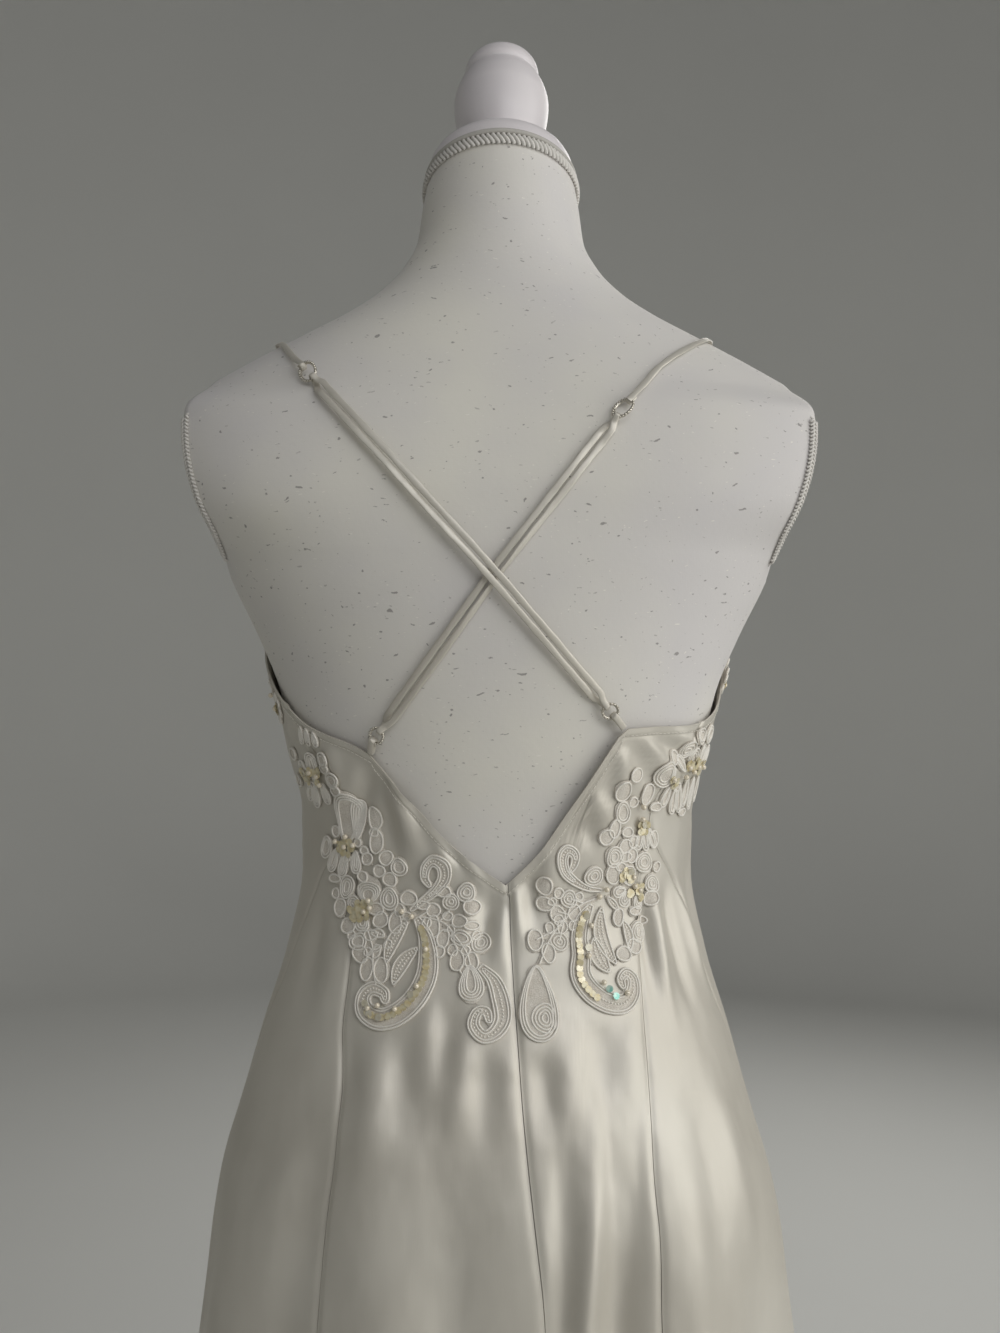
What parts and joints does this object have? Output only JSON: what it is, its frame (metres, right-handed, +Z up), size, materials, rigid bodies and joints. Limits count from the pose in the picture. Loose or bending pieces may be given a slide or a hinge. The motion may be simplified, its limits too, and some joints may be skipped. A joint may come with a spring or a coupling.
{
  "type": "long satin slip dress on a limbless dress form",
  "caption": "Long bias-look satin slip dress with crossed thin straps, a deep V back and corded lace at the waist, on a limbless dress form with a round foot.",
  "frame": {"origin": "on the floor, in the middle of the underside of the stand's round foot", "axes": "+Z up; the wearer of the dress would face -Y, so the back with its V is at +Y; +X is the wearer's left"},
  "size_m": [0.5133, 0.4309, 1.5806],
  "materials": {
    "ivory_satin": "heavy ivory satin with a soft sheen",
    "corded_lace": "corded lace with small beads",
    "ring_metal": "bright beaded wire",
    "form_cover": "matt off-white cloth with dark slubs",
    "form_braid": "twisted cotton cord",
    "white_paint": "satin white paint on turned wood",
    "stand_paint": "white powder coat on steel"
  },
  "bodies": {
    "root": {"back_left": "ivory_satin", "back_right": "ivory_satin", "gore_left": "ivory_satin", "gore_right": "ivory_satin", "side_front_left": "ivory_satin", "side_front_right": "ivory_satin", "front_centre": "ivory_satin", "lace_back_left": "corded_lace", "lace_back_right": "corded_lace", "lace_front_left": "corded_lace", "lace_front_right": "corded_lace", "strap_front_left": "ivory_satin", "strap_front_right": "ivory_satin", "strap_back_left": "ivory_satin", "strap_back_right": "ivory_satin", "tab_left": "ivory_satin", "tab_right": "ivory_satin", "slider_left": "ring_metal", "slider_right": "ring_metal", "ring_left": "ring_metal", "ring_right": "ring_metal", "form_torso": "form_cover", "form_neck_braid": "form_braid", "form_arm_braid_left": "form_braid", "form_arm_braid_right": "form_braid", "form_neck_cap": "white_paint", "form_neck_knob": "white_paint", "form_base_plate": "white_paint", "stand_collar": "stand_paint", "stand_pole": "stand_paint", "stand_base": "stand_paint"}
  },
  "joints": []
}
